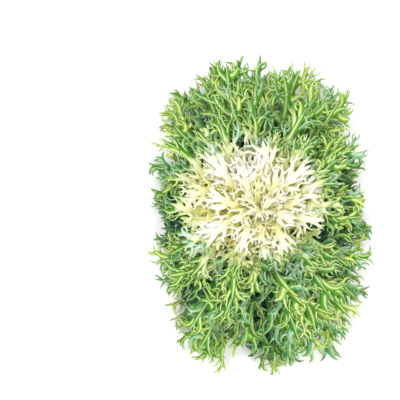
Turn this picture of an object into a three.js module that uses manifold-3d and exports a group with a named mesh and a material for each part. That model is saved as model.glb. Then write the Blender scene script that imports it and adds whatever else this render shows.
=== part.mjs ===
// A head of curly endive, cut at the stem and standing on the cut: narrow ribs that carry forked, pointed
// lobes, in one spiral from the old green leaves outside to the blanched heart.
// Millimetres, +Z up, +Y along the head's longer way. The origin is the centre of the cut face.
import * as THREE from "three";
import { mergeVertices } from "three/addons/utils/BufferGeometryUtils.js";
import Module from "manifold-3d";

// Leaves are numbered from the oldest, outside, to the youngest, in the middle.
const OUTER_LEAVES = 24;
const INNER_LEAVES = 18;
const HEART_LEAVES = 24;
const OPEN_LEAVES = OUTER_LEAVES + INNER_LEAVES;
const LEAVES = OPEN_LEAVES + HEART_LEAVES;
const GOLDEN_ANGLE = 137.508;

// How a leaf of each age stands: how far its rib reaches across X and along Y, how steeply it leaves the
// stem and how steeply it ends, in millimetres and degrees. Leaves of other ages lie between these.
const STAGES = [
  { age: 0.0, across: 90, along: 130, rise: 12, fall: -14 },
  { age: 0.3, across: 84, along: 122, rise: 42, fall: -6 },
  { age: 0.45, across: 77, along: 97, rise: 52, fall: 0 },
  { age: 0.62, across: 62, along: 58, rise: 66, fall: 4 },
  { age: 0.8, across: 44, along: 42, rise: 78, fall: 8 },
  { age: 1.0, across: 16, along: 14, rise: 86, fall: 30 },
];

// The youngest leaves of all, in the heart's middle, lean inwards and end this far beyond the axis.
const BUD_LEAVES = 4;
const BUD = { reach: 10, rise: THREE.MathUtils.degToRad(98), fall: THREE.MathUtils.degToRad(134) };

// The outline that the ribs reach to is an ellipse with this power in place of 2, so fuller at its corners,
// and the leaves' ways are crowded towards Y by this, as its ends are further out.
const OUTLINE_POWER = 3;
const CROWDING = 1.4;

// The stem's outline, as radius and height, and the heart's small core above it.
const STEM = [
  [14, 0],
  [15.4, 2.4],
  [15.2, 8],
  [13.4, 13.5],
  [10.6, 18.6],
  [8.4, 20],
];
const CORE = [
  [7.6, 20.4],
  [8, 22.5],
  [6.4, 27],
  [3.4, 30.5],
];
const CORE_TOP = 37;
const ROUND = 18;
const LOWEST_ROOT = 3.4;
const HIGHEST_OPEN_ROOT = 18.8;
const LOWEST_HEART_ROOT = 21.4;
const HIGHEST_HEART_ROOT = 30;
const ROOT_GAP = 1.1;
const ROOT_SUNK = 1.6;

// The blade of an open leaf and of a heart leaf. Widths and thicknesses are in millimetres, and shares
// and the longest lobe's length are parts of the leaf's length. Bare is the share of rib with no lobes.
const OPEN = { lobes: 9, bare: 0.28, longest: 0.26, root: 5.2, end: 3.0, forked: 0.5 };
const HEART = { lobes: 5, bare: 0.46, longest: 0.24, root: 5.4, end: 4.4, forked: 0.35 };
const LAST_LOBE = 0.94;
const ROOT_THICK = 1.5;
const END_THICK = 1.0;
const LOBE_THICK = 0.85;
const LOBE_WIDTH = 2.7;

// A lobe's angles from the rib, in radians, near the root and near the end, and how far it curls up. A
// forked one parts at a share of its length, and its tips spread to both sides, the rear one being shorter.
const LOBE_ANGLES = [1.0, 0.5];
const LOBE_CURL = 0.06;
const FORK = { from: 0.68, rear: 0.9, spread: 0.27 };
const TIP_LOBE = { length: 0.12, sweep: 0.3, curl: 0.1 };

// Lobes are as long as half a wave is high between these shares of it, so longest past the middle.
const FULLNESS = [0.26, 0.76];

// By how much leaves and lobes differ from each other, either way.
const VARIED = { reach: 0.05, lean: 0.06, roll: 0.02, length: 0.14, angle: 0.08, sweep: 0.35, curl: 0.14 };

// A blade wraps round the axis on a ring no tighter than this, and lies no lower than this.
const TIGHTEST_RING = 24;
const FLOOR_GAP = 0.5;
const CUP = 0.006;

// An open leaf leans on its side like a shingle. It is turned round the axis and raised at its root by the
// first of these pairs of angles, in degrees, that keeps it clear of the leaves inside it.
const SHINGLE = 0.03;
const TURNS = [0, 2, -2, 4, -4, 6, -6, 8, -8, 10, -10, 12, -12, 14, -14];
const RAISES = [0, -2, 2, -4, 4, -6, 6];
const CLEARANCE = 0.35;

const radians = THREE.MathUtils.degToRad;
const mix = THREE.MathUtils.lerp;

// A number from 0 to 1 that is always the same for one leaf and one use of it.
function chance(leaf, use) {
  const x = Math.sin(leaf * 127.1 + use * 311.7) * 43758.5453;
  return x - Math.floor(x);
}

// A number from -1 to 1, made the same way.
const either = (leaf, use) => 2 * chance(leaf, use) - 1;

function stageOf(age) {
  const next = Math.max(1, STAGES.findIndex((s) => s.age >= age));
  const [a, b] = [STAGES[next - 1], STAGES[next]];
  const share = (age - a.age) / (b.age - a.age);
  const between = (name) => mix(a[name], b[name], share);
  return {
    across: between("across"),
    along: between("along"),
    rise: radians(between("rise")),
    fall: radians(between("fall")),
  };
}

function radiusAt(outline, height) {
  const next = Math.max(1, outline.findIndex(([, z]) => z >= height));
  const [[r0, z0], [r1, z1]] = [outline[next - 1], outline[next]];
  return mix(r0, r1, (height - z0) / (z1 - z0));
}

function rootOf(number) {
  if (number < OPEN_LEAVES) {
    const height = mix(LOWEST_ROOT, HIGHEST_OPEN_ROOT, number / (OPEN_LEAVES - 1));
    return { height, radius: radiusAt(STEM, height) + ROOT_GAP };
  }
  const share = Math.min(1, (number - OPEN_LEAVES) / (HEART_LEAVES - 1));
  const height = mix(LOWEST_HEART_ROOT, HIGHEST_HEART_ROOT, share);
  return { height, radius: radiusAt(CORE, height) - ROOT_SUNK };
}

// Everything that a leaf's place in the spiral settles. Its rib is an arc in an upright plane.
function leafAt(number, turn = 0, raise = 0) {
  const inBud = number >= LEAVES;
  const stage = inBud ? BUD : stageOf(number / (LEAVES - 1));
  const rise = stage.rise + radians(raise);
  const spiral = radians(number * GOLDEN_ANGLE);
  const azimuth = Math.atan2(CROWDING * Math.sin(spiral), Math.cos(spiral)) + radians(turn);
  const root = rootOf(number);
  const across = Math.abs(Math.cos(azimuth) / stage.across) ** OUTLINE_POWER;
  const along = Math.abs(Math.sin(azimuth) / stage.along) ** OUTLINE_POWER;
  const outline = inBud ? -stage.reach : (across + along) ** (-1 / OUTLINE_POWER);
  const reach = (1 + VARIED.reach * either(number, 2)) * outline;
  const bend = stage.fall - rise;
  const outward = (Math.sin(stage.fall) - Math.sin(rise)) / bend;
  const length = (reach - root.radius) / outward;
  return {
    number,
    azimuth,
    root,
    length,
    bend,
    rise,
    shape: number < OPEN_LEAVES ? OPEN : HEART,
    lean: VARIED.lean * length * either(number, 3),
    roll: SHINGLE + VARIED.roll * either(number, 4),
    side: number % 2 ? 1 : -1,
  };
}

// The rib's radius, height and slope at a share u of its length.
function ribAt(leaf, u) {
  const slope = leaf.rise + leaf.bend * u;
  const scale = leaf.length / leaf.bend;
  return {
    radius: leaf.root.radius + scale * (Math.sin(slope) - Math.sin(leaf.rise)),
    height: leaf.root.height + scale * (Math.cos(leaf.rise) - Math.cos(slope)),
    slope,
  };
}

// A point of the blade: share u along the rib, t to the side round the axis, d off the leaf's own shell and
// off above or below the blade's middle.
function pointAt(leaf, u, t, d, off) {
  const rib = ribAt(leaf, u);
  const side = t + leaf.lean * u * u;
  const ring = Math.max(rib.radius, TIGHTEST_RING);
  const turn = side / ring;
  const tilt = [-Math.sin(rib.slope), Math.cos(rib.slope)];
  const lift = d + leaf.roll * t + CUP * t * t;
  const height = Math.max(rib.height + lift * tilt[1], FLOOR_GAP + Math.abs(off));
  const away = (lift + off) * tilt[0];
  const x = rib.radius - ring * (1 - Math.cos(turn)) + away * Math.cos(turn);
  const y = ring * Math.sin(turn) + away * Math.sin(turn);
  const [c, s] = [Math.cos(leaf.azimuth), Math.sin(leaf.azimuth)];
  return new THREE.Vector3(x * c - y * s, x * s + y * c, height + off * tilt[1]);
}

// A blade under construction: its points as u, t, d and thickness, and its triangles seen from above.
class Blade {
  constructor(leaf) {
    this.leaf = leaf;
    this.points = [];
    this.faces = [];
  }

  point(u, t, d, thick) {
    return this.points.push([u, t, d, thick]) - 1;
  }

  face(side, a, b, c) {
    this.faces.push(side > 0 ? [a, b, c] : [a, c, b]);
  }

  // A lobe that grows from the edge between points back and front, away from u, t on the given side.
  // Its angle is from the rib's own way to the lobe's; it sweeps to another angle and curls off the shell.
  lobe(side, back, front, u, t, { length, angle, sweep, curl, forked }) {
    const add = (share, turn, across) => {
      const way = angle + turn;
      const along = length * share;
      return this.point(
        u + (along * Math.cos(way) - across * Math.sin(way)) / this.leaf.length,
        t + side * (along * Math.sin(way) + across * Math.cos(way)),
        curl * length * share * share,
        LOBE_THICK,
      );
    };
    const midBack = add(0.5, -sweep / 2, LOBE_WIDTH / 2);
    const midFront = add(0.5, -sweep / 2, -LOBE_WIDTH / 2);
    this.face(side, back, front, midFront);
    this.face(side, back, midFront, midBack);
    if (!forked) {
      this.face(side, midBack, midFront, add(1, sweep / 2, 0));
      return;
    }
    const axil = add(FORK.from, 0, 0);
    const tipFront = add(1, sweep / 2 - FORK.spread, 0);
    const tipBack = add(FORK.rear, sweep / 2 + FORK.spread, 0);
    this.face(side, midBack, midFront, axil);
    this.face(side, midFront, tipFront, axil);
    this.face(side, midBack, axil, tipBack);
  }

  // The closed solid: each point above and below the blade's middle, and a wall along each open edge.
  geometry() {
    const skin = (half) =>
      this.points.map(([u, t, d, thick]) => pointAt(this.leaf, u, t, d, half * thick));
    const below = this.points.length;
    const edges = this.faces.flatMap(([a, b, c]) => [[a, b], [b, c], [c, a]]);
    const used = new Set(edges.map(([from, to]) => `${from} ${to}`));
    const index = this.faces.flatMap(([a, b, c]) => [a, b, c, below + a, below + c, below + b]);
    for (const [from, to] of edges)
      if (!used.has(`${to} ${from}`))
        index.push(from, below + from, below + to, from, below + to, to);
    const geometry = new THREE.BufferGeometry().setFromPoints([...skin(0.5), ...skin(-0.5)]);
    return geometry.setIndex(index);
  }
}

// How long a lobe is at a share of the way from the first lobe to the last.
const fullness = (share) => Math.sin(Math.PI * mix(...FULLNESS, share));

function bladeOf(leaf) {
  const { number, length, shape } = leaf;
  const blade = new Blade(leaf);
  const shares = [0, shape.bare / 2];
  for (let k = 0; k <= shape.lobes; k++) shares.push(mix(shape.bare, LAST_LOBE, k / shape.lobes));
  const edge = (side) =>
    shares.map((u) => {
      const half = mix(shape.root, shape.end, u) / 2;
      return blade.point(u, side * half, 0, mix(ROOT_THICK, END_THICK, u));
    });
  const [left, right] = [edge(1), edge(-1)];
  for (let k = 0; k + 1 < shares.length; k++) {
    blade.face(1, right[k], right[k + 1], left[k + 1]);
    blade.face(1, right[k], left[k + 1], left[k]);
  }
  for (let k = 0; k < shape.lobes; k++) {
    const side = k % 2 ? leaf.side : -leaf.side;
    const from = side > 0 ? left : right;
    const u = (shares[k + 2] + shares[k + 3]) / 2;
    const use = 10 + 5 * k;
    const full = fullness(k / (shape.lobes - 1));
    blade.lobe(side, from[k + 2], from[k + 3], u, blade.points[from[k + 2]][1], {
      length: shape.longest * length * full * (1 + VARIED.length * either(number, use)),
      angle: mix(...LOBE_ANGLES, u) + VARIED.angle * either(number, use + 1),
      sweep: VARIED.sweep * either(number, use + 2),
      curl: LOBE_CURL + VARIED.curl * either(number, use + 3),
      forked: chance(number, use + 4) < shape.forked,
    });
  }
  blade.lobe(1, left.at(-1), right.at(-1), LAST_LOBE, 0, {
    length: TIP_LOBE.length * length,
    angle: 0,
    sweep: TIP_LOBE.sweep * either(number, 5),
    curl: TIP_LOBE.curl,
    forked: true,
  });
  return blade;
}

// A shape turned about the axis from an outline of radius and height, closed on the axis at both ends.
function turned(outline, top) {
  const profile = [[0, outline[0][1]], ...outline, [0, top]];
  const points = profile.map(([r, z]) => new THREE.Vector2(r, z));
  return new THREE.LatheGeometry(points, ROUND).rotateX(Math.PI / 2);
}

const wasm = await Module();
wasm.setup();

function toSolid(geometry) {
  const bare = new THREE.BufferGeometry();
  bare.setAttribute("position", geometry.getAttribute("position"));
  bare.setIndex(geometry.index);
  const merged = mergeVertices(bare, 1e-4);
  return new wasm.Manifold(
    new wasm.Mesh({
      numProp: 3,
      vertProperties: merged.attributes.position.array,
      triVerts: new Uint32Array(merged.index.array),
    }),
  );
}

function toGeometry(solid) {
  const { vertProperties, triVerts } = solid.getMesh();
  const geometry = new THREE.BufferGeometry();
  geometry.setAttribute("position", new THREE.BufferAttribute(vertProperties, 3));
  return geometry.setIndex(new THREE.BufferAttribute(triVerts, 1));
}

const look = (color, roughness) =>
  new THREE.MeshStandardMaterial({ color, roughness, metalness: 0, flatShading: true });
const STEM_LOOK = look(0xe9e6cf, 0.6);
const HEART_LOOK = look(0xf1edc4, 0.5);
const INNER_LOOK = look(0xb9cf7c, 0.5);
const OUTER_LOOK = look(0x5f9e3a, 0.5);

const head = new THREE.Group();
head.name = "curly_endive_head";

function addPiece(name, geometry, material) {
  const mesh = new THREE.Mesh(geometry, material);
  mesh.name = name;
  head.add(mesh);
}

function heartSolid() {
  let heart = toSolid(turned(CORE, CORE_TOP));
  for (let number = OPEN_LEAVES; number < LEAVES + BUD_LEAVES; number++)
    heart = heart.add(toSolid(bladeOf(leafAt(number)).geometry()));
  return heart;
}

addPiece("stem", turned(STEM, STEM.at(-1)[1]), STEM_LOOK);
const heart = heartSolid();
addPiece("heart", toGeometry(heart), HEART_LOOK);

// The widest gap that an open leaf finds, up to the clearance, at any of its pairs of angles.
function clearBlade(number, placed) {
  let best = { gap: -1 };
  for (const raise of RAISES)
    for (const turn of TURNS) {
      if (best.gap >= CLEARANCE) return best;
      const geometry = bladeOf(leafAt(number, turn, raise)).geometry();
      const solid = toSolid(geometry);
      const gap = Math.min(...placed.map((other) => other.minGap(solid, CLEARANCE)));
      if (gap > best.gap) best = { gap, geometry, solid };
    }
  return best;
}

// The open leaves go in from the heart outwards.
const placed = [heart];
for (let number = OPEN_LEAVES - 1; number >= 0; number--) {
  const outer = number < OUTER_LEAVES;
  const count = outer ? number + 1 : number - OUTER_LEAVES + 1;
  const name = `${outer ? "outer" : "inner"}_leaf_${String(count).padStart(2, "0")}`;
  const { geometry, solid } = clearBlade(number, placed);
  placed.push(solid);
  addPiece(name, geometry, outer ? OUTER_LOOK : INNER_LOOK);
}

export default head;
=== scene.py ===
# The looks of a head of curly endive: every leaf of the frame is redrawn as a finer blade on the same rib,
# with more leaves between them, a blanched heart, a cut stem, a pale floor and soft light from above.
# Leaves are worked out in millimetres and turned into metres when their meshes are made.
import math

import bpy
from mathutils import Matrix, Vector


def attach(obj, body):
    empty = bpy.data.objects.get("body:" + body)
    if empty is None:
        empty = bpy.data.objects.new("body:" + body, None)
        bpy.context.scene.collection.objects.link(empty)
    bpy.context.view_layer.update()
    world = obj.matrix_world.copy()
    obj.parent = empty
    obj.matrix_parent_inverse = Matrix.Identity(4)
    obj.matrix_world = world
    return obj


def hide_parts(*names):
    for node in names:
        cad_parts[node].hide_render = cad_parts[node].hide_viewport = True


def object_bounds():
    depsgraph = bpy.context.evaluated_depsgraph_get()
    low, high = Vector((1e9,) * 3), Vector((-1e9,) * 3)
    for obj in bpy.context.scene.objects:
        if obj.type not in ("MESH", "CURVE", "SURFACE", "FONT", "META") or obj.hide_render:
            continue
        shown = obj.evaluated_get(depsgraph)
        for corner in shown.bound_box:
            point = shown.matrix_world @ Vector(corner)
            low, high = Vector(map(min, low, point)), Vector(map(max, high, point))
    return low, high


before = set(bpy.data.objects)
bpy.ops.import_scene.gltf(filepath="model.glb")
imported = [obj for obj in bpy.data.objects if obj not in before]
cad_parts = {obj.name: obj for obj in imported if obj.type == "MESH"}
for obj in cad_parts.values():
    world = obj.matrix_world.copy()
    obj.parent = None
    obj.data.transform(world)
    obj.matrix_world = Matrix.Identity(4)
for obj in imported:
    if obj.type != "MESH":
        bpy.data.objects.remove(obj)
cad_low, cad_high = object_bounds()

# The leaves' spiral, their number and how they stand at each age, as in the frame. Millimetres, degrees.
OUTER_LEAVES = 24
INNER_LEAVES = 18
HEART_LEAVES = 24
OPEN_LEAVES = OUTER_LEAVES + INNER_LEAVES
LEAVES = OPEN_LEAVES + HEART_LEAVES
GOLDEN_ANGLE = 137.508
STAGES = [
    {"age": 0.0, "across": 90, "along": 130, "rise": 12, "fall": -14},
    {"age": 0.3, "across": 84, "along": 122, "rise": 42, "fall": -6},
    {"age": 0.45, "across": 77, "along": 97, "rise": 52, "fall": 0},
    {"age": 0.62, "across": 62, "along": 58, "rise": 66, "fall": 4},
    {"age": 0.8, "across": 44, "along": 42, "rise": 78, "fall": 8},
    {"age": 1.0, "across": 16, "along": 14, "rise": 86, "fall": 30},
]
# The youngest leaves of all lean inwards and end beyond the axis.
BUD_LEAVES = 4
BUD = {"across": 10, "along": 10, "rise": 98, "fall": 134}
# How many leaves more there are among the oldest, beyond one between each pair, how much further all those
# in between reach, how near in age the leaves are that they lie between, and how many make a piece.
MORE_OUTSIDE = 18
BETWEEN_REACH = 1.02
NEAR_IN_AGE = 6.5
IN_A_GROUP = 8
# Four old leaves that fill hollows of the outline, as their number and azimuth in degrees.
HOLLOWS = [(0.1, 91), (0.15, 122), (0.2, 229), (0.25, 268)]
# The outline's shape: 2 would be an ellipse, and more is squarer.
OUTLINE_POWER = 3
# How strongly leaves crowd towards the two longer ends: 1 is not at all.
CROWDING = 1.4
BETWEEN_CROWDING = 1.1
# A leaf's slope to one side, over the one next to it, how much its edges turn up, and the smallest radius
# that it is bent round.
SHINGLE = 0.03
CUP = 0.006
TIGHTEST_RING = 24
FLOOR_GAP = 0.5
# Lobes stand up less above this height, and spread less past these half-widths: what goes past them is
# drawn in to this share of itself.
CALM_ABOVE = 62
CALMED = 0.45
OUTLINE_ACROSS = 95
OUTLINE_ALONG = 137
EASED = 0.4
# How much leaves differ from each other, either way: in reach, in lean as a share of length, and in roll.
REACH_VARIES = 0.05
LEAN_VARIES = 0.06
ROLL_VARIES = 0.02

# The stem and the heart's core, as radius and height, and where leaves root on them.
STEM = [(14, 0), (15.4, 2.4), (15.2, 8), (13.4, 13.5), (10.6, 18.6), (8.4, 20)]
CORE = [(7.6, 20.4), (8, 22.5), (6.4, 27), (3.4, 30.5)]
OPEN_ROOTS = (3.4, 18.8)
HEART_ROOTS = (21.4, 30)
ROOT_SUNK = 1.6

# How each kind of leaf is cut. Lobes is how many there are on a side. Bare is the share of rib with none,
# and the longest lobe is a part of the leaf's length. Widths are in millimetres: the rib's at its root,
# middle and end, and a lobe's. Angles are from the rib, at its first lobe and at its last, in radians.
# Teeth are on a lobe. Sweep is how far it hooks sideways and curl how far it bends up or down, in radians.
OUTER = {
    "lobes": 6,
    "bare": 0.17,
    "longest": 0.3,
    "rib": (5.6, 4.6, 3.6),
    "lobe": 5.4,
    "angles": (1.1, 0.5),
    "teeth": 3,
    "sweep": 2.6,
    "curl": 1.5,
}
INNER = {
    "lobes": 6,
    "bare": 0.26,
    "longest": 0.27,
    "rib": (6.0, 6.4, 4.4),
    "lobe": 5.2,
    "angles": (0.8, 0.42),
    "teeth": 3,
    "sweep": 1.9,
    "curl": 1.2,
}
HEART = {
    "lobes": 4,
    "bare": 0.3,
    "longest": 0.34,
    "rib": (5.2, 7.2, 5.8),
    "lobe": 5.6,
    "angles": (0.5, 0.34),
    "teeth": 2,
    "sweep": 0.7,
    "curl": 0.7,
}
YOUNGEST = {
    "lobes": 3,
    "bare": 0.34,
    "longest": 0.42,
    "rib": (5.2, 7.4, 6.2),
    "lobe": 6.2,
    "angles": (0.44, 0.3),
    "teeth": 1,
    "sweep": 0.6,
    "curl": 0.5,
}
YOUNGEST_FROM = 58
# Leaves shorter than this are narrower in proportion.
FULL_WIDTH_FROM = 44
# How far ribs may snake, in radians.
OPEN_WANDER = 0.25
BETWEEN_WANDER = 0.8
HEART_WANDER = 0.6
# Thicknesses in millimetres: of ribs at their root and end, of lobes at theirs, and where a lobe or a tooth
# leaves the edge that it grows from.
RIB_THICK = (1.9, 1.0)
LOBE_THICK = (0.8, 0.4)
LOBE_JOINT = 0.9
TOOTH_JOINT = 0.7
# A ribbon's middle lies this share of its half-width below its edges.
CHANNEL = 0.25
# Where a lobe's and a tooth's stations are along them. The tip is beyond the last one, by this share of the
# last step.
LOBE_SHARES = [0.2, 0.38, 0.56, 0.72, 0.88]
TOOTH_SHARES = [0.36, 0.62, 0.86]
TIP = 0.9
# The rib's stations before its first lobe, as shares of its bare part, and its last one.
BARE_SHARES = (0.34, 0.67)
LAST_SHARE = 0.95
# How full the leaf is at its first lobe and its last, as shares of a half wave.
FULLNESS = (0.26, 0.76)
# What a lobe or a tooth draws: how far it hooks, how much likelier than even it hooks towards the tip of
# what it grows from, the share of its sweep that it first leans the other way, and its pitch, roll, curl
# and twist.
HOOK = (0.35, 1.0)
HOOK_TO_TIP = 0.1
LEAN_BACK = 0.25
PITCH = (-0.2, 0.4)
ROLL = (-0.35, 0.35)
CURL = (-0.9, 1)
TWIST = (-1.7, 1.7)
# A lobe narrows by this share, by this power of the way along it.
TAPER = 0.86
TAPER_POWER = 2.2
# A tooth's length as a share of its lobe's, how much less each next one has, its width as a share, and by
# what these and the tooth's angle in radians vary. The last tooth grows from this segment of the lobe.
TOOTH_LENGTH = 0.56
TOOTH_SHORTER = 0.07
TOOTH_WIDTH = 0.62
TOOTH_VARIES = (0.75, 1.3)
TOOTH_ANGLES = (0.4, 0.75)
LAST_TOOTH = 3
# By what a lobe's length, width and angle vary on a leaf.
LENGTH_VARIES = (0.7, 1.15)
WIDTH_VARIES = (0.7, 1.7)
ANGLE_VARIES = (-0.15, 0.15)
# Where the rib starts to narrow for its tip and by what share, the top and bottom of its root, its twist
# and its wave.
RIB_NARROWS_FROM = 0.82
RIB_NARROWS_BY = 0.5
ROOT_TOP = 0.5
ROOT_BOTTOM = -1.4
RIB_TWIST = 0.2
RIB_WAVE = 0.6
# How far out from the rib points lie, from 0 at the rib to 1 at a lobe's end: what is added at a ribbon's
# edge and at its tip, along a lobe and along a tooth, and what the rib's own end and its root's edges have.
EDGE_SPREAD = 0.12
TIP_SPREAD = 0.15
LOBE_SPREAD = 0.55
TOOTH_SPREAD = 0.2
RIB_SPREAD = 0.35
ROOT_SPREAD = 0.1
# The map's crosswise places run from -1 to 1 on a leaf's upper face, and that much higher on its underside.
UNDERSIDE = 4
# The millimetres along a ribbon that are one unit of the map.
UV_LENGTH = 10
# The numbers of the common formula that scatters a leaf's number and a use of it into chance.
LEAF_STEP = 127.1
USE_STEP = 311.7
SCATTER = 43758.5453
# The uses of chance that a leaf makes as a whole, and the last before those that its blade draws.
FOR_REACH = 2
FOR_LEAN = 3
FOR_ROLL = 4
FOR_COLOUR = 7
FIRST_DRAW = 100


def mix(a, b, share):
    return a + (b - a) * share


def clamp(value, low=0.0, high=1.0):
    return min(max(value, low), high)


def smooth(low, high, value):
    share = clamp((value - low) / (high - low))
    return share * share * (3 - 2 * share)


def chance(leaf, use):
    """A number from 0 to 1 that is always the same for one leaf and one use of it."""
    x = math.sin(leaf * LEAF_STEP + use * USE_STEP) * SCATTER
    return x - math.floor(x)


def either(leaf, use):
    """A number from -1 to 1, made the same way."""
    return 2 * chance(leaf, use) - 1


def between(rows, key, value):
    """The pair of neighbouring rows that hold value, and its share of the way from one to the next."""
    for a, b in zip(rows, rows[1:]):
        if value <= key(b):
            return a, b, (value - key(a)) / (key(b) - key(a))
    return rows[-2], rows[-1], 1.0


def radius_at(outline, height):
    a, b, share = between(outline, lambda row: row[1], height)
    return mix(a[0], b[0], share)


class Leaf:
    """A leaf's place in the spiral. Number may lie between two whole ones, for a leaf between them, and age
    runs from 0 for the oldest to 1 for the youngest."""

    def __init__(self, number, azimuth=None, rise=None, full=1.0):
        self.number = number
        self.age = number / (LEAVES - 1)
        a, b, share = between(STAGES, lambda row: row["age"], self.age)
        stage = {name: mix(a[name], b[name], share) for name in a}
        if number > LEAVES - 1:
            stage = BUD
        self.azimuth = crowded(math.radians(number * GOLDEN_ANGLE)) if azimuth is None else azimuth
        self.rise = math.radians(stage["rise"]) if rise is None else rise
        fall = math.radians(stage["fall"])
        if number < OPEN_LEAVES:
            self.height = mix(*OPEN_ROOTS, number / (OPEN_LEAVES - 1))
            self.radius = radius_at(STEM, self.height) - ROOT_SUNK
        else:
            self.height = mix(*HEART_ROOTS, (min(number, LEAVES - 1) - OPEN_LEAVES) / (HEART_LEAVES - 1))
            self.radius = radius_at(CORE, self.height) - ROOT_SUNK
        across = abs(math.cos(self.azimuth) / stage["across"]) ** OUTLINE_POWER
        along = abs(math.sin(self.azimuth) / stage["along"]) ** OUTLINE_POWER
        differing = 1 + REACH_VARIES * either(number, FOR_REACH)
        reach = full * differing / (across + along) ** (1 / OUTLINE_POWER)
        if stage is BUD:
            reach = -stage["across"] * differing
        self.bend = fall - self.rise
        outward = (math.sin(fall) - math.sin(self.rise)) / self.bend
        self.length = (reach - self.radius) / outward
        self.lean = LEAN_VARIES * self.length * either(number, FOR_LEAN)
        self.roll = SHINGLE + ROLL_VARIES * either(number, FOR_ROLL)
        self.kind = OUTER if number < OUTER_LEAVES else INNER if number < OPEN_LEAVES else HEART
        if number >= YOUNGEST_FROM:
            self.kind = YOUNGEST

    def place(self, x, y, z):
        """A point x along the rib, y to its side and z off the leaf's shell, in the head's millimetres."""
        u = x / self.length
        slope = self.rise + self.bend * u
        scale = self.length / self.bend
        radius = self.radius + scale * (math.sin(slope) - math.sin(self.rise))
        height = self.height + scale * (math.cos(self.rise) - math.cos(slope))
        ring = max(radius, TIGHTEST_RING)
        turn = (y + self.lean * u * u) / ring
        lift = z + self.roll * y + CUP * y * y
        away = -lift * math.sin(slope)
        out = radius - ring * (1 - math.cos(turn)) + away * math.cos(turn)
        side = ring * math.sin(turn) + away * math.sin(turn)
        c, s = math.cos(self.azimuth), math.sin(self.azimuth)
        height = max(height + lift * math.cos(slope), FLOOR_GAP)
        if height > CALM_ABOVE:
            height = mix(CALM_ABOVE, height, CALMED)
        return (eased(out * c - side * s, OUTLINE_ACROSS), eased(out * s + side * c, OUTLINE_ALONG), height)


def eased(value, limit):
    """Draws in what is past the limit on either side."""
    past = abs(value) - limit
    return value if past < 0 else math.copysign(limit + EASED * past, value)


def crowded(way, crowding=CROWDING):
    """The azimuth of a leaf from its even way round the spiral."""
    return math.atan2(crowding * math.sin(way), math.cos(way))


def evened(azimuth):
    """The even way of a leaf from its azimuth, from 0 to a full turn, as leaves in between are crowded."""
    return math.atan2(math.sin(azimuth) / BETWEEN_CROWDING, math.cos(azimuth)) % math.tau


def widest_gap(leaves):
    """The azimuth in the middle of the widest gap between these leaves."""
    ways = sorted(evened(leaf.azimuth) for leaf in leaves)
    width, start = max((b - a, a) for a, b in zip(ways, ways[1:] + [ways[0] + math.tau]))
    return crowded(start + width / 2, BETWEEN_CROWDING)


def leaf_of(node, number):
    """The leaf of a CAD node, turned and raised as its solid is: read from the four corners at its root."""
    corners = {tuple(round(c * 1000, 3) for c in v.co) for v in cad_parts[node].data.vertices}
    by_radius = sorted(corners, key=lambda p: math.hypot(p[0], p[1]))[:4]
    low, _, _, high = sorted(by_radius, key=lambda p: p[2])
    azimuth = math.atan2(sum(p[1] for p in by_radius), sum(p[0] for p in by_radius))
    inward = math.hypot(low[0], low[1]) - math.hypot(high[0], high[1])
    return Leaf(number, azimuth, math.atan2(inward, high[2] - low[2]))


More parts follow.
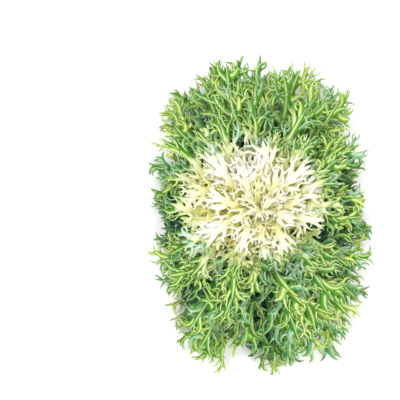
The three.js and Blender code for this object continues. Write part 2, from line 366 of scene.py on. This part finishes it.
class Blade:
    """One closed mesh: ribbons with a lens-shaped section that branch from each other's edges."""

    def __init__(self, leaf):
        self.leaf = leaf
        self.points = []
        self.spread = []
        self.tints = []
        self.tint = MIDDLE_TINT
        self.faces = []
        self.corners = []
        self.use = FIRST_DRAW

    def draw(self, low=0.0, high=1.0):
        self.use += 1
        return mix(low, high, chance(self.leaf.number, self.use))

    def point(self, where, spread):
        self.points.append(where)
        self.spread.append(spread)
        self.tints.append(self.tint)
        return len(self.points) - 1

    def face(self, *corners):
        self.faces.append([index for index, _, _ in corners])
        self.corners.append([(u, v) for _, u, v in corners])

    def branch(self, base, start, way, length, width, thick, shares, children, order, spread):
        """Grows a ribbon from base, four points: left, right, top and bottom.

        way is its heading as [yaw, pitch, roll, sweep, curl, twist, wave]. Sweep, curl and twist are how
        much yaw, pitch and roll change along it, yaw most near its end, and wave is how far it snakes.
        shares are the places of its stations. children says what grows at a segment's left and right
        edges, as a function of the segment's number. spread is how far out its start and its end lie."""
        yaw, pitch, roll, sweep, curl, twist, wave = way
        here = Vector(start)
        stations = [base]
        places = [0.0]
        for last, share in zip([0.0] + shares, shares):
            step = (share - last) * length
            yaw += sweep * (share ** 2 - last ** 2)
            yaw += wave * (math.sin(math.tau * share) - math.sin(math.tau * last))
            pitch += curl * (share - last)
            roll += twist * (share - last)
            level = math.cos(pitch)
            ahead = Vector((level * math.cos(yaw), level * math.sin(yaw), math.sin(pitch)))
            here = here + step * ahead
            flat = Vector((-math.sin(yaw), math.cos(yaw), 0))
            up = ahead.cross(flat)
            side = flat * math.cos(roll) + up * math.sin(roll)
            up = up * math.cos(roll) - flat * math.sin(roll)
            half = width(share) / 2
            deep = thick(share) / 2
            channel = CHANNEL * half
            far = mix(spread[0], spread[1], share)
            stations.append(
                (
                    self.point(here + side * half, far + EDGE_SPREAD),
                    self.point(here - side * half, far + EDGE_SPREAD),
                    self.point(here + up * (deep - channel), far),
                    self.point(here - up * (deep + channel), far),
                )
            )
            places.append(share * length)
        beyond = step * TIP
        tip = self.point(here + ahead * beyond, spread[1] + TIP_SPREAD)
        places.append(places[-1] + beyond)
        for k in range(len(stations) - 1):
            back, front = stations[k], stations[k + 1]
            u, v = places[k], places[k + 1]
            left, right = children(k)
            sides = []
            for side, child in ((0, left), (1, right)):
                sign = -1 if side else 1
                if child is None:
                    sides.append(None)
                    continue
                a, b = self.points[back[side]], self.points[front[side]]
                middle = (a + b) / 2
                lift = (self.points[front[2]] - self.points[front[3]]).normalized() * child["thick"] / 2
                far = (self.spread[back[side]] + self.spread[front[side]]) / 2
                above = self.point(middle + lift, far)
                below = self.point(middle - lift, far)
                sides.append((above, below))
                joint = (back[side], front[side], above, below)
                if side:
                    joint = (front[side], back[side], above, below)
                heading = math.atan2(*(self.points[front[2]] - self.points[back[2]]).yx)
                self.lobe(joint, middle, heading + sign * child["angle"], sign, child, order + 1, far)
            for under in (0, 1):
                t0, t1 = back[2 + under], front[2 + under]
                for side in (0, 1):
                    edge = 1 - 2 * side
                    ring = [(t0, u, 0), (t1, v, 0), (front[side], v, edge)]
                    if sides[side]:
                        ring.append((sides[side][under], (u + v) / 2, edge))
                    ring.append((back[side], u, edge))
                    ring = [(index, along, across + UNDERSIDE * under) for index, along, across in ring]
                    if side != under:
                        ring.reverse()
                    self.face(*ring)
        last = stations[-1]
        u, v = places[-2], places[-1]
        for under in (0, 1):
            for side in (0, 1):
                ring = [(last[2 + under], u, 0), (tip, v, 0), (last[side], u, 1 - 2 * side)]
                ring = [(index, along, across + UNDERSIDE * under) for index, along, across in ring]
                if side != under:
                    ring.reverse()
                self.face(*ring)

    def lobe(self, joint, start, yaw, sign, child, order, spread):
        """A side lobe, which tapers to a point and carries smaller ones."""
        length, wide = child["length"], child["width"]
        hooked = self.draw(*HOOK)
        if self.draw() < 0.5 + HOOK_TO_TIP * sign:
            hooked = -hooked
        way = [
            yaw - LEAN_BACK * hooked * child["sweep"],
            self.draw(*PITCH),
            self.draw(*ROLL),
            child["sweep"] * hooked,
            child["curl"] * self.draw(*CURL),
            self.draw(*TWIST),
            0,
        ]
        shares = LOBE_SHARES if order == 1 else TOOTH_SHARES
        first = 1 if self.draw() < 0.5 else 0

        def width(share):
            return wide * (1 - TAPER * share ** TAPER_POWER)

        def thick(share):
            return mix(*LOBE_THICK, share)

        def children(k):
            found = [None, None]
            if order == 1 and LAST_TOOTH - child["teeth"] < k <= LAST_TOOTH:
                found[(k + first) % 2] = {
                    "length": length * (TOOTH_LENGTH - TOOTH_SHORTER * k) * self.draw(*TOOTH_VARIES),
                    "width": wide * TOOTH_WIDTH,
                    "angle": self.draw(*TOOTH_ANGLES),
                    "thick": TOOTH_JOINT,
                    "sweep": child["sweep"],
                    "curl": child["curl"],
                }
            return found

        if order == 1:
            self.tint = self.draw()
        far = spread + (LOBE_SPREAD if order == 1 else TOOTH_SPREAD)
        self.branch(joint, start, way, length, width, thick, shares, children, order, (spread, far))
        if order == 1:
            self.tint = MIDDLE_TINT

    def grow(self, wander):
        """The whole leaf: its rib from the stem to the tip, with a lobe at each side of each segment.

        wander is how much the rib may turn aside, in radians."""
        leaf, kind = self.leaf, self.leaf.kind
        count = kind["lobes"]
        root, middle, end = kind["rib"]
        bare = [kind["bare"] * share for share in BARE_SHARES]
        shares = bare + [mix(kind["bare"], LAST_SHARE, k / count) for k in range(count + 1)]
        scale = min(leaf.length / FULL_WIDTH_FROM, 1)

        def width(share):
            if share < 0.5:
                return scale * mix(root, middle, share / 0.5)
            narrowed = 1 - RIB_NARROWS_BY * smooth(RIB_NARROWS_FROM, 1.0, share)
            return scale * mix(middle, end, (share - 0.5) / 0.5) * narrowed

        def thick(share):
            return mix(*RIB_THICK, share)

        def child(share):
            full = math.sin(math.pi * mix(*FULLNESS, share))
            return {
                "length": kind["longest"] * leaf.length * full * self.draw(*LENGTH_VARIES),
                "width": scale * kind["lobe"] * mix(*WIDTH_VARIES, self.draw() ** 2),
                "angle": mix(*kind["angles"], share) + self.draw(*ANGLE_VARIES),
                "thick": LOBE_JOINT,
                "sweep": kind["sweep"],
                "curl": kind["curl"],
                "teeth": kind["teeth"],
            }

        def children(k):
            at = k - len(BARE_SHARES) - 1
            if at < 0:
                return [None, None]
            return [child(at / (count - 1)) for _ in (0, 1)]

        half = scale * root / 2
        base = (
            self.point(Vector((0, half, 0)), ROOT_SPREAD),
            self.point(Vector((0, -half, 0)), ROOT_SPREAD),
            self.point(Vector((0, 0, ROOT_TOP)), 0),
            self.point(Vector((0, 0, ROOT_BOTTOM)), 0),
        )
        left, right, top, bottom = base
        self.face((right, 0, -1), (top, 0, 0), (left, 0, 1), (bottom, 0, 0))
        sweep = wander * self.draw(-1, 1)
        twist = RIB_TWIST * self.draw(-1, 1)
        wave = wander * self.draw(-RIB_WAVE, RIB_WAVE)
        way = [0, 0, 0, sweep, 0, twist, wave]
        self.branch(base, (0, 0, 0), way, leaf.length, width, thick, shares, children, 0, (0, RIB_SPREAD))
        return self


# The blanched heart's half-widths and its centre, in millimetres: leaves turn green as they leave it.
HEART_ACROSS = 57
HEART_ALONG = 49
HEART_AT = (-9, 4)
METRE = 0.001
# The ways out, in half-widths of the heart, where leaves start to turn green and are green. What moves a
# point's way out: its leaf's own draw, how far it is from the rib, and its lobe's tint, each from a middle.
TURNING = (0.85, 1.4)
BY_LEAF = 0.12
BY_SPREAD = 0.3
MIDDLE_SPREAD = 0.4
BY_TINT = 0.3
MIDDLE_TINT = 0.5
# How green a leaf is at least once it is past that, and what its age and the distance from the rib add.
# Leaves as young as the first of these two ages get nothing from it, and those as old as the second all.
GREEN = 0.6
BY_AGE = 0.25
BY_EDGE = 0.2
AGEING = (0.75, 0.1)
# Round the heart's flank, from the first to the second way out, leaves are green up to between these
# heights, as if they were this much further out.
FLANK_WAYS = (0.55, 0.9)
FLANK = (30, 50)
FLANK_GREEN = 0.75


def green_at(leaf, point, spread, draw, tint):
    """How green the leaf is at a point, 0 blanched to 1 deep green: by its way out from the heart's centre.

    spread is how far the point is from the rib, draw the leaf's own chance and tint its lobe's."""
    out = math.hypot((point[0] - HEART_AT[0]) / HEART_ACROSS, (point[1] - HEART_AT[1]) / HEART_ALONG)
    out += FLANK_GREEN * smooth(*reversed(FLANK), point[2]) * smooth(*FLANK_WAYS, out)
    moved = BY_LEAF * draw + BY_SPREAD * (spread - MIDDLE_SPREAD) + BY_TINT * (tint - MIDDLE_TINT)
    light = smooth(*TURNING, out + moved)
    old = smooth(*AGEING, leaf.age)
    return clamp(light * (GREEN + BY_AGE * old + BY_EDGE * spread))


# The height of the foliage's top in millimetres: over the heart, by the share of the way from its middle to
# its edge, and round it, by the share of the way from there to the outline.
HEART_TOP = [(0, 48), (0.2, 54), (0.45, 61), (0.7, 61), (1.0, 58)]
GREEN_TOP = [(0, 64), (0.15, 60), (0.35, 49), (0.68, 35), (0.85, 22), (1.0, 6), (2.0, 4)]
# How far below the top the shade is deepest.
HEART_DEEP = 18
GREEN_DEEP = 28
# How much the leaf's own draw changes its lobes' tints.
TINT_BY_LEAF = 0.15


def depth_at(point):
    """How deep in the foliage's shade a point lies, 0 at its top to 1."""
    heart = math.hypot(point[0] / HEART_ACROSS, point[1] / HEART_ALONG)
    outline = math.hypot(point[0] / OUTLINE_ACROSS, point[1] / OUTLINE_ALONG)
    rows, way, deep = HEART_TOP, heart, HEART_DEEP
    if heart > 1:
        edge = outline / heart
        rows, way, deep = GREEN_TOP, (outline - edge) / (1 - edge), GREEN_DEEP
    a, b, share = between(rows, lambda row: row[0], way)
    return clamp((mix(a[1], b[1], share) - point[2]) / deep)


def mesh_of(name, blades):
    """One mesh object of the blades, with what its colours go by as attributes, and a lengthways UV map."""
    points, faces, corners = [], [], []
    green, tint, depth = [], [], []
    for blade in blades:
        first = len(points)
        leaf = blade.leaf
        draw = either(leaf.number, FOR_COLOUR)
        for where, far, chosen in zip(blade.points, blade.spread, blade.tints):
            place = leaf.place(*where)
            points.append([c * METRE for c in place])
            green.append(green_at(leaf, place, far, draw, chosen))
            tint.append(clamp(chosen + TINT_BY_LEAF * draw))
            depth.append(depth_at(place))
        faces += [[first + k for k in face] for face in blade.faces]
        corners += [corner for face in blade.corners for corner in face]
    mesh = bpy.data.meshes.new(name)
    mesh.from_pydata(points, [], faces)
    for key, values in (("green", green), ("tint", tint), ("depth", depth)):
        mesh.attributes.new(key, "FLOAT", "POINT").data.foreach_set("value", values)
    lengthways = mesh.uv_layers.new(name="lengthways")
    for loop, (along, across) in zip(lengthways.data, corners):
        loop.uv = (along / UV_LENGTH, across)
    for polygon in mesh.polygons:
        polygon.use_smooth = True
    mesh.validate()
    piece = bpy.data.objects.new(name, mesh)
    bpy.context.scene.collection.objects.link(piece)
    rounding = piece.modifiers.new("rounding", "SUBSURF")
    rounding.levels = 1
    rounding.render_levels = 1
    return piece


# Materials: each ramp is a list of places from 0 to 1 and the colours there.

BLACK = (0, 0, 0)
WHITE = (1, 1, 1)
# Flesh by how green it is, from blanched on.
BLANCHED = [(0.0, (0.85, 0.84, 0.73)), (0.25, (0.82, 0.83, 0.52)), (0.6, (0.58, 0.68, 0.18))]
# A green lobe by its tint, while it is young and when it is old.
FRESH = [
    (0.0, (0.80, 0.84, 0.50)),
    (0.12, (0.50, 0.62, 0.08)),
    (0.3, (0.25, 0.46, 0.03)),
    (0.58, (0.10, 0.32, 0.02)),
    (0.78, (0.07, 0.27, 0.09)),
    (0.92, (0.60, 0.76, 0.64)),
]
AGED = [
    (0.0, (0.50, 0.62, 0.07)),
    (0.3, (0.24, 0.47, 0.03)),
    (0.6, (0.08, 0.30, 0.03)),
    (0.95, (0.14, 0.39, 0.18)),
]
# The pale vein, which is also a painted highlight, the underside, the painted shade deep in the foliage, and
# what multiplies edges, as a painted shaded side on green lobes, and the painted start of the shade, each by
# how green the leaf is.
PALE = [
    (0.0, (0.84, 0.83, 0.76)),
    (0.4, (0.88, 0.90, 0.66)),
    (0.7, (0.84, 0.90, 0.56)),
    (1.0, (0.74, 0.84, 0.44)),
]
BACK = [(0.0, (0.86, 0.84, 0.66)), (0.4, (0.72, 0.80, 0.42)), (1.0, (0.40, 0.58, 0.26))]
SHADOW = [
    (0.0, (1.0, 0.93, 0.27)),
    (0.12, (0.62, 0.78, 0.20)),
    (0.3, (0.18, 0.42, 0.09)),
    (0.6, (0.010, 0.085, 0.05)),
]
EDGE_AND_SHADED_SIDE = [(0.0, (0.92, 0.87, 0.42)), (0.3, (0.56, 0.68, 0.24)), (0.6, (0.24, 0.44, 0.22))]
LOW = [(0.0, (1.0, 0.98, 0.6)), (0.3, (0.9, 1.0, 0.6)), (0.6, WHITE)]
# Where each of these looks starts and is full: green and old flesh by greenness, the painted shade's yellow
# start and its deep colour by depth, the vein with its painted highlight, one painted shaded side on green
# lobes and two yellowed edges on blanched ones by the place across, and streaks by noise.
TURNED_AT = [(0.3, BLACK), (0.55, WHITE)]
OLD_AT = [(0.7, BLACK), (1.0, WHITE)]
YELLOW_AT = [(0.08, BLACK), (0.42, WHITE)]
SUNK_AT = [(0.22, BLACK), (0.85, WHITE)]
VEIN_AND_HIGHLIGHT_AT = [(0.42, BLACK), (0.54, WHITE), (0.68, (0.7, 0.7, 0.7)), (0.84, BLACK)]
SHADED_SIDE_AT = [(0.0, WHITE), (0.28, (0.75, 0.75, 0.75)), (0.46, BLACK), (1.0, (0.5, 0.5, 0.5))]
TWO_SIDES_AT = [(0.0, WHITE), (0.26, BLACK), (0.74, BLACK), (1.0, WHITE)]
STREAKS_AT = [(0.3, (0.82, 0.85, 0.78)), (0.65, WHITE)]
# How strong each of them is.
BACK_SHARE = 0.6
VEIN_AND_HIGHLIGHT_SHARE = 0.85
EDGE_AND_SHADED_SIDE_SHARE = 0.85
STREAK_SHARE = 0.7
YELLOW_SHARE = 0.8
SUNK_SHARE = 0.92
# How much blotches change the greenness, and how far a lobe's tint moves aside its pale vein, which is also
# a painted highlight.
BLOTCHES = 0.3
VEIN_AND_HIGHLIGHT_ASIDE = 0.36
VEIN_AND_HIGHLIGHT_START = 0.1
# How rough leaves are: at least this, and more by their streaks. Light goes this many metres into them, red
# and green further than blue.
ROUGHNESS = 0.46
ROUGHER = 0.2
GLOW_DEPTH = 0.003
GLOW_COLOURS = (1.0, 1.0, 0.35)
SHINE = 0.22
# The noise of the blotches, by place in metres, and of the streaks, by the map: its scale and its detail.
BLOTCH_SCALE = 120.0
BLOTCH_DETAIL = 3.0
STREAK_STRETCH = (1.2, 5.0, 1.0)
STREAK_SCALE = 3.0
STREAK_DETAIL = 4.0
# The streaks' relief, as the share of it that shows and its height in metres.
RELIEF = 0.35
RELIEF_HEIGHT = 0.0004
# The stem's skin and its cut face, by the noise of their fibres, and how high the cut's colour reaches.
SKIN = [(0.3, (0.66, 0.70, 0.42)), (0.7, (0.84, 0.84, 0.66))]
CUT_FACE = [(0.35, (0.62, 0.50, 0.30)), (0.65, (0.84, 0.79, 0.60))]
CUT_HEIGHT = 0.0008
FIBRE_SCALE = 260.0
FIBRE_DETAIL = 5.0
FIBRE_RELIEF = 0.4
FIBRE_HEIGHT = 0.0005
STEM_ROUGHNESS = 0.6


class Nodes:
    """A material and a short way to write its node tree."""

    def __init__(self, name):
        self.material = bpy.data.materials.new(name)
        self.material.use_nodes = True
        self.tree = self.material.node_tree
        self.shader = self.tree.nodes["Principled BSDF"]

    def add(self, kind, inputs=(), **settings):
        node = self.tree.nodes.new("ShaderNode" + kind)
        for key, value in settings.items():
            setattr(node, key, value)
        for key, value in dict(inputs).items():
            self.join(value, node.inputs[key])
        return node

    def join(self, value, socket):
        if isinstance(value, bpy.types.NodeSocket):
            self.tree.links.new(value, socket)
        else:
            socket.default_value = value

    def attribute(self, name):
        return self.add("Attribute", attribute_name=name).outputs["Fac"]

    def maths(self, operation, *values):
        node = self.add("Math", operation=operation)
        for value, socket in zip(values, node.inputs):
            self.join(value, socket)
        return node.outputs[0]

    def noise(self, where, scale, detail):
        return self.add("TexNoise", {"Vector": where, "Scale": scale, "Detail": detail}).outputs["Fac"]

    def bump(self, height, strength, distance):
        relief = self.add("Bump", {"Height": height, "Strength": strength, "Distance": distance})
        self.join(relief.outputs["Normal"], self.shader.inputs["Normal"])

    def ramp(self, value, stops):
        node = self.add("ValToRGB", {"Fac": value})
        elements = node.color_ramp.elements
        while len(elements) < len(stops):
            elements.new(0.5)
        for element, (place, colour) in zip(elements, stops):
            element.position = place
            element.color = (*colour, 1)
        return node.outputs["Color"]

    def blend(self, share, a, b, way="MIX"):
        node = self.add("Mix", data_type="RGBA", blend_type=way)
        self.join(share, node.inputs["Factor"])
        self.join(a if isinstance(a, bpy.types.NodeSocket) else (*a, 1), node.inputs["A"])
        self.join(b if isinstance(b, bpy.types.NodeSocket) else (*b, 1), node.inputs["B"])
        return node.outputs["Result"]


def leaf_material(name, glow):
    """A leaf's green or blanched flesh. Glow is how much light goes through it."""
    nodes = Nodes(name)
    green = nodes.attribute("green")
    uv = nodes.add("UVMap", uv_map="lengthways").outputs["UV"]
    split = nodes.add("SeparateXYZ", {"Vector": uv})
    place = nodes.add("TexCoord").outputs["Object"]
    blotches = nodes.noise(place, BLOTCH_SCALE, BLOTCH_DETAIL)
    streak_at = nodes.add("Mapping", {"Vector": uv, "Scale": STREAK_STRETCH}).outputs["Vector"]
    streaks = nodes.noise(streak_at, STREAK_SCALE, STREAK_DETAIL)
    uneven = nodes.maths("MULTIPLY", nodes.maths("SUBTRACT", blotches, 0.5), BLOTCHES)
    shifted = nodes.maths("ADD", green, uneven)
    tint = nodes.attribute("tint")
    turned = nodes.ramp(shifted, TURNED_AT)
    aged = nodes.ramp(shifted, OLD_AT)
    colour = nodes.blend(turned, nodes.ramp(shifted, BLANCHED), nodes.ramp(tint, FRESH))
    colour = nodes.blend(aged, colour, nodes.ramp(tint, AGED))
    under = nodes.maths("GREATER_THAN", split.outputs["Y"], UNDERSIDE / 2)
    colour = nodes.blend(nodes.maths("MULTIPLY", under, BACK_SHARE), colour, nodes.ramp(shifted, BACK))
    across = nodes.maths("MULTIPLY_ADD", under, -UNDERSIDE, split.outputs["Y"])
    side = nodes.maths("MULTIPLY_ADD", across, 0.5, 0.5)
    started = nodes.maths("ADD", side, VEIN_AND_HIGHLIGHT_START)
    # A pale stripe along each ribbon: partly the real vein, partly a painted highlight.
    vein_and_highlight = nodes.ramp(nodes.maths("MULTIPLY_ADD", tint, -VEIN_AND_HIGHLIGHT_ASIDE, started), VEIN_AND_HIGHLIGHT_AT)
    colour = nodes.blend(nodes.maths("MULTIPLY", vein_and_highlight, VEIN_AND_HIGHLIGHT_SHARE), colour, nodes.ramp(shifted, PALE))
    # Green lobes are darkened along one side as painted shade; blanched ones get a yellowed rim at both
    # edges.
    edges_and_shaded_side = nodes.blend(turned, nodes.ramp(side, TWO_SIDES_AT), nodes.ramp(side, SHADED_SIDE_AT))
    edges_and_shaded_side_share = nodes.maths("MULTIPLY", edges_and_shaded_side, EDGE_AND_SHADED_SIDE_SHARE)
    colour = nodes.blend(edges_and_shaded_side_share, colour, nodes.ramp(green, EDGE_AND_SHADED_SIDE), "MULTIPLY")
    colour = nodes.blend(STREAK_SHARE, colour, nodes.ramp(streaks, STREAKS_AT), "MULTIPLY")
    depth = nodes.attribute("depth")
    yellow = nodes.maths("MULTIPLY", nodes.ramp(depth, YELLOW_AT), YELLOW_SHARE)
    colour = nodes.blend(yellow, colour, nodes.ramp(green, LOW), "MULTIPLY")
    sunk = nodes.maths("MULTIPLY", nodes.ramp(depth, SUNK_AT), SUNK_SHARE)
    colour = nodes.blend(sunk, colour, nodes.ramp(green, SHADOW))
    nodes.join(colour, nodes.shader.inputs["Base Color"])
    nodes.join(nodes.maths("MULTIPLY_ADD", streaks, ROUGHER, ROUGHNESS), nodes.shader.inputs["Roughness"])
    nodes.bump(streaks, RELIEF, RELIEF_HEIGHT)
    nodes.shader.inputs["Specular IOR Level"].default_value = SHINE
    nodes.shader.inputs["Subsurface Weight"].default_value = glow
    nodes.shader.inputs["Subsurface Radius"].default_value = GLOW_COLOURS
    nodes.shader.inputs["Subsurface Scale"].default_value = GLOW_DEPTH
    return nodes.material


def stem_material():
    nodes = Nodes("stem")
    place = nodes.add("TexCoord").outputs["Object"]
    fibre = nodes.noise(place, FIBRE_SCALE, FIBRE_DETAIL)
    height = nodes.add("SeparateXYZ", {"Vector": place}).outputs["Z"]
    cut = nodes.maths("LESS_THAN", height, CUT_HEIGHT)
    colour = nodes.blend(cut, nodes.ramp(fibre, SKIN), nodes.ramp(fibre, CUT_FACE))
    nodes.join(colour, nodes.shader.inputs["Base Color"])
    nodes.shader.inputs["Roughness"].default_value = STEM_ROUGHNESS
    nodes.bump(fibre, FIBRE_RELIEF, FIBRE_HEIGHT)
    return nodes.material


def add_leaves(name, leaves, slot, wander, nodes=()):
    """A piece of these leaves, in place of the CAD nodes, if any."""
    piece = mesh_of(name, [Blade(leaf).grow(wander) for leaf in leaves])
    piece.data.materials.append(leaf_materials[slot])
    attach(piece, "root")
    if nodes:
        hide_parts(*nodes)


# A material for each slot, by how much light goes through its leaves.
GLOWS = {"outer_leaf": 0.15, "inner_leaf": 0.2, "heart_leaf": 0.5}
leaf_materials = {slot: leaf_material(slot, glow) for slot, glow in GLOWS.items()}


def slot_of(number):
    return "outer_leaf" if number < OUTER_LEAVES else "inner_leaf"


open_leaves = []
for number in range(OPEN_LEAVES):
    slot = slot_of(number)
    count = number + 1 if number < OUTER_LEAVES else number - OUTER_LEAVES + 1
    node = f"{slot}_{count:02d}"
    leaf = leaf_of(node, number)
    add_leaves(f"{node}_blade", [leaf], slot, OPEN_WANDER, [node])
    open_leaves.append(leaf)

# More leaves between those, each in the widest gap between the leaves that are nearest to it in age.
numbers = sorted([k + 0.5 for k in range(OPEN_LEAVES)] + [k + 0.25 for k in range(MORE_OUTSIDE)])
between_leaves = []
for number in numbers:
    near = [leaf for leaf in open_leaves + between_leaves if abs(leaf.number - number) < NEAR_IN_AGE]
    between_leaves.append(Leaf(number, widest_gap(near), full=BETWEEN_REACH))
between_leaves = [Leaf(number, math.radians(way)) for number, way in HOLLOWS] + between_leaves
for group in range(math.ceil(len(between_leaves) / IN_A_GROUP)):
    leaves = between_leaves[group * IN_A_GROUP : (group + 1) * IN_A_GROUP]
    add_leaves(f"between_leaves_{group + 1}", leaves, slot_of(leaves[-1].number), BETWEEN_WANDER)

heart_leaves = [Leaf(OPEN_LEAVES + k) for k in range(HEART_LEAVES + BUD_LEAVES)]
add_leaves("heart_blades", heart_leaves, "heart_leaf", HEART_WANDER, ["heart"])

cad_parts["stem"].data.materials.clear()
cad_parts["stem"].data.materials.append(stem_material())


# Floor, light and camera

FLOOR_SIDE = 6.0
FLOOR_COLOUR = (0.9, 0.9, 0.89, 1)
FLOOR_ROUGHNESS = 0.8
# Each light's place and size in metres, and its power in watts. The world lights the rest evenly.
KEY = ((-0.7, 0.4, 1.9), 0.4, 14)
FILL = ((0.8, -1.2, 1.4), 1.6, 17)
WORLD_STRENGTH = 1.14
# The camera's height above the horizon in degrees, the metres that the picture is wide at the head, the
# lens and its sensor in millimetres, and where the head's middle is in the picture, in pixels.
CAMERA_ELEVATION = 80
FRAME_WIDTH = 0.338
FOCAL_LENGTH = 110
SENSOR = 36
HEAD_AT = (260, 212)
PICTURE = 400
NEAREST_SEEN = 0.05


def add_floor():
    bpy.ops.mesh.primitive_plane_add(size=FLOOR_SIDE)
    floor = bpy.context.object
    floor.name = "floor"
    nodes = Nodes("floor")
    nodes.shader.inputs["Base Color"].default_value = FLOOR_COLOUR
    nodes.shader.inputs["Roughness"].default_value = FLOOR_ROUGHNESS
    floor.data.materials.append(nodes.material)


def add_light(name, place, size, power):
    light = bpy.data.lights.new(name, "AREA")
    light.shape = "DISK"
    light.size = size
    light.energy = power
    lamp = bpy.data.objects.new(name, light)
    lamp.location = place
    lamp.rotation_euler = (-Vector(place)).to_track_quat("-Z", "Y").to_euler()
    bpy.context.scene.collection.objects.link(lamp)


def add_camera():
    camera = bpy.data.cameras.new("camera")
    camera.lens = FOCAL_LENGTH
    camera.sensor_width = SENSOR
    camera.clip_start = NEAREST_SEEN
    seen = bpy.data.objects.new("camera", camera)
    tilt = math.radians(CAMERA_ELEVATION)
    distance = FRAME_WIDTH * FOCAL_LENGTH / SENSOR
    pixel = FRAME_WIDTH / PICTURE
    aside = (PICTURE / 2 - HEAD_AT[0]) * pixel
    up = (HEAD_AT[1] - PICTURE / 2) * pixel
    middle = (cad_low + cad_high) / 2
    target = middle + Vector((aside, up * math.sin(tilt), up * math.cos(tilt)))
    seen.location = target + distance * Vector((0, -math.cos(tilt), math.sin(tilt)))
    seen.rotation_euler = (math.pi / 2 - tilt, 0, 0)
    bpy.context.scene.collection.objects.link(seen)
    bpy.context.scene.camera = seen


add_floor()
add_light("key", *KEY)
add_light("fill", *FILL)
add_camera()

world = bpy.data.worlds.new("studio")
world.use_nodes = True
world.node_tree.nodes["Background"].inputs["Color"].default_value = (1, 1, 1, 1)
world.node_tree.nodes["Background"].inputs["Strength"].default_value = WORLD_STRENGTH
bpy.context.scene.world = world
bpy.context.scene.view_settings.view_transform = "Standard"
